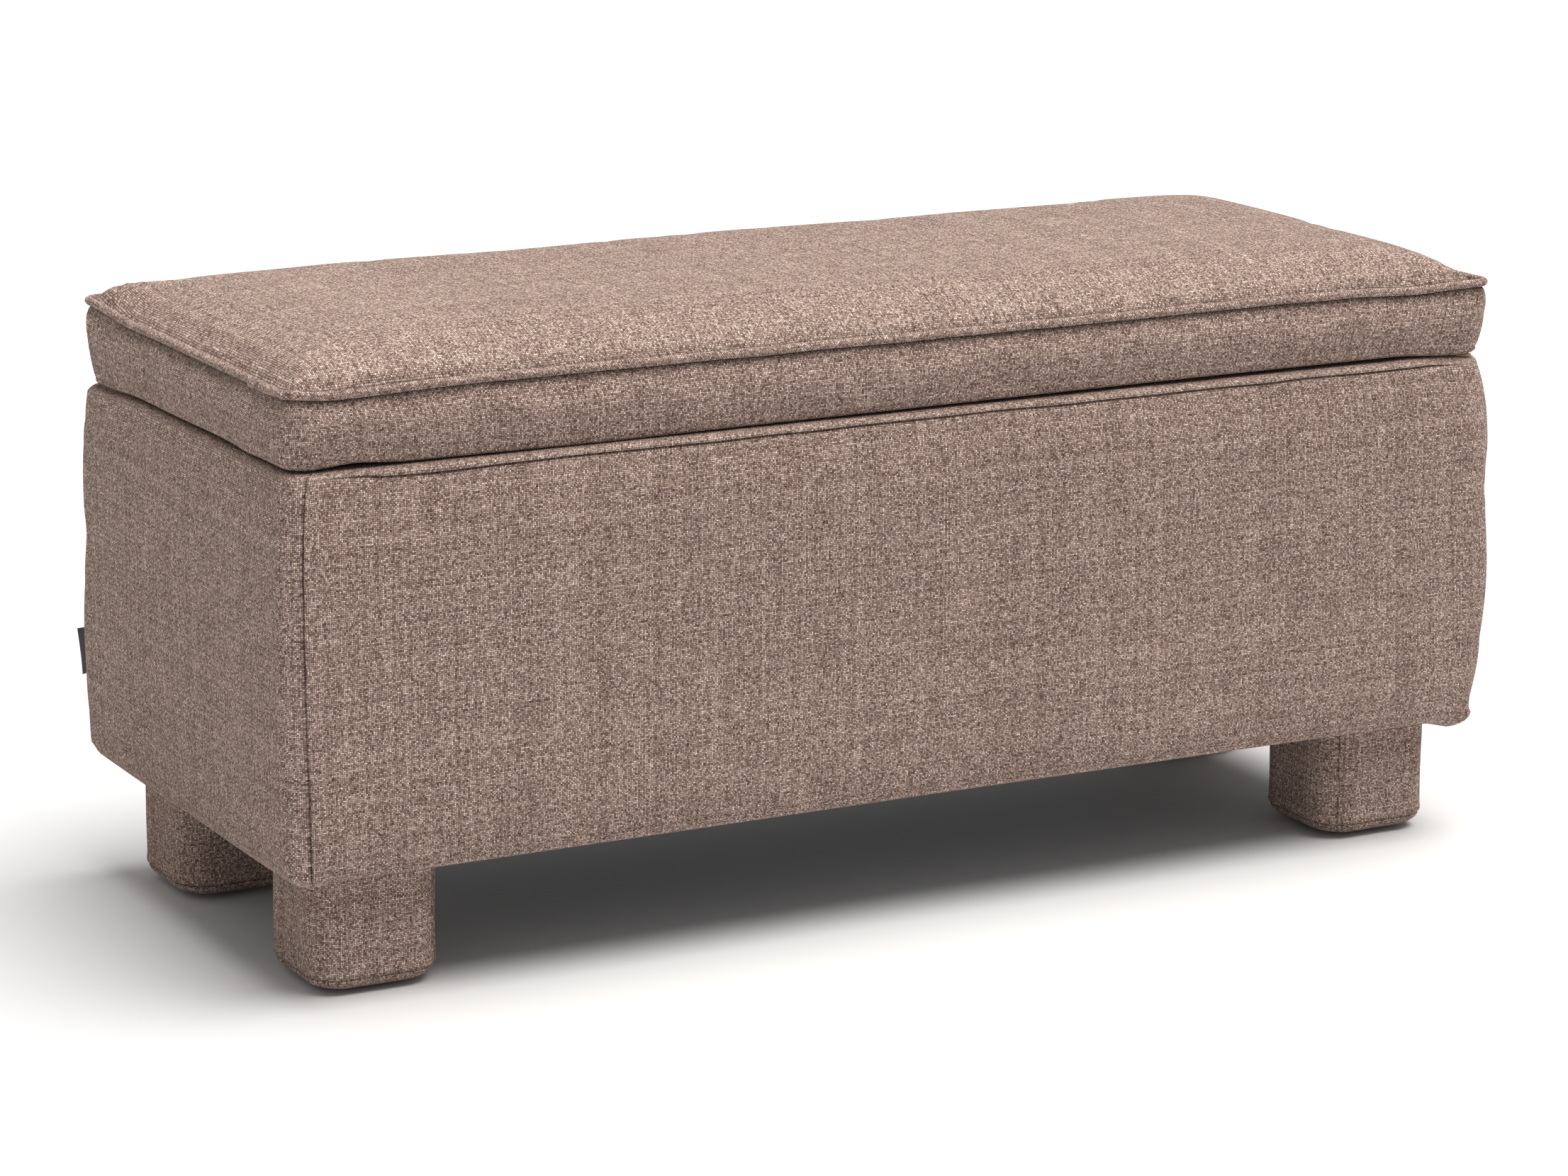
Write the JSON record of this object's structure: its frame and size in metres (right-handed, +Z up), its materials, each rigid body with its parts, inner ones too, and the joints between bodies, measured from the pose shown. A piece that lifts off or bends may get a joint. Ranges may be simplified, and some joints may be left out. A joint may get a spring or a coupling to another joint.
{
  "type": "upholstered storage bench",
  "caption": "Fabric-covered storage bench: a padded, piped lid hinged at the back over a lined chest on square block feet.",
  "frame": {"origin": "on the floor, at the centre of the bench's footprint", "axes": "+X along the bench to the right as seen from the front, the front faces -Y, +Z up"},
  "size_m": [1, 0.41, 0.464],
  "materials": {
    "taupe_fabric": "matt woven melange upholstery cloth",
    "piping_fabric": "the same cloth cut on the bias over a cord",
    "foam": "open-cell foam",
    "black_lining": "thin non-woven cloth",
    "particle_board": "raw particle board",
    "pine": "raw softwood",
    "felt_glide": "felt-faced rubber",
    "clear_rubber": "soft clear",
    "woven_tag": "blank woven ribbon",
    "black_steel": "black e-coat",
    "zinc_steel": "zinc plated"
  },
  "bodies": {
    "chest": {"back_board": "particle_board", "back_foam": "foam", "chest_cover": "taupe_fabric", "corner_block_back_left": "pine", "corner_block_back_right": "pine", "corner_block_front_left": "pine", "corner_block_front_right": "pine", "dust_cover": "black_lining", "floor_board": "particle_board", "foot_block_back_left": "particle_board", "foot_block_back_right": "particle_board", "foot_block_front_left": "particle_board", "foot_block_front_right": "particle_board", "foot_bolt_back_left": "zinc_steel", "foot_bolt_back_right": "zinc_steel", "foot_bolt_front_left": "zinc_steel", "foot_bolt_front_right": "zinc_steel", "foot_cover_back_left": "taupe_fabric", "foot_cover_back_right": "taupe_fabric", "foot_cover_front_left": "taupe_fabric", "foot_cover_front_right": "taupe_fabric", "foot_glide_back_left": "felt_glide", "foot_glide_back_right": "felt_glide", "foot_glide_front_left": "felt_glide", "foot_glide_front_right": "felt_glide", "front_board": "particle_board", "front_foam": "foam", "hinge_chest_leaf_left": "zinc_steel", "hinge_chest_leaf_right": "zinc_steel", "hinge_pin_left": "zinc_steel", "hinge_pin_right": "zinc_steel", "left_end_board": "particle_board", "left_end_foam": "foam", "right_end_board": "particle_board", "right_end_foam": "foam", "side_tag": "woven_tag", "stay_stud_left": "zinc_steel", "stay_stud_right": "zinc_steel", "storage_lining": "black_lining", "tee_nut_back_left": "zinc_steel", "tee_nut_back_right": "zinc_steel", "tee_nut_front_left": "zinc_steel", "tee_nut_front_right": "zinc_steel"},
    "lid": {"hinge_lid_leaf_left": "zinc_steel", "hinge_lid_leaf_right": "zinc_steel", "lid_board": "particle_board", "lid_bumper_left": "clear_rubber", "lid_bumper_right": "clear_rubber", "lid_cover": "taupe_fabric", "lid_foam": "foam", "lid_piping": "piping_fabric", "lid_underlining": "black_lining", "stay_bracket_left": "black_steel", "stay_bracket_right": "black_steel", "stay_rivet_left": "zinc_steel", "stay_rivet_right": "zinc_steel"},
    "stay_left": {"stay_arm_left": "black_steel"},
    "stay_right": {"stay_arm_right": "black_steel"}
  },
  "joints": [
    {"name": "lid_hinge", "type": "hinge", "parent": "chest", "child": "lid", "pos_m": [0, 0.1962, 0.3816], "axis": [-1, 0, 0], "range_deg": [0, 95]},
    {"name": "stay_left_pivot", "type": "hinge", "parent": "lid", "child": "stay_left", "pos_m": [-0.4575, 0.06671, 0.3701], "axis": [-1, 0, 0], "range_deg": [-47.5, 0]},
    {"name": "stay_right_pivot", "type": "hinge", "parent": "lid", "child": "stay_right", "pos_m": [0.4575, 0.06671, 0.3701], "axis": [-1, 0, 0], "range_deg": [-47.5, 0]}
  ],
  "couplings": [
    {"joint": "stay_left_pivot", "follows": "lid_hinge", "ratio": -0.5},
    {"joint": "stay_right_pivot", "follows": "lid_hinge", "ratio": -0.5}
  ]
}
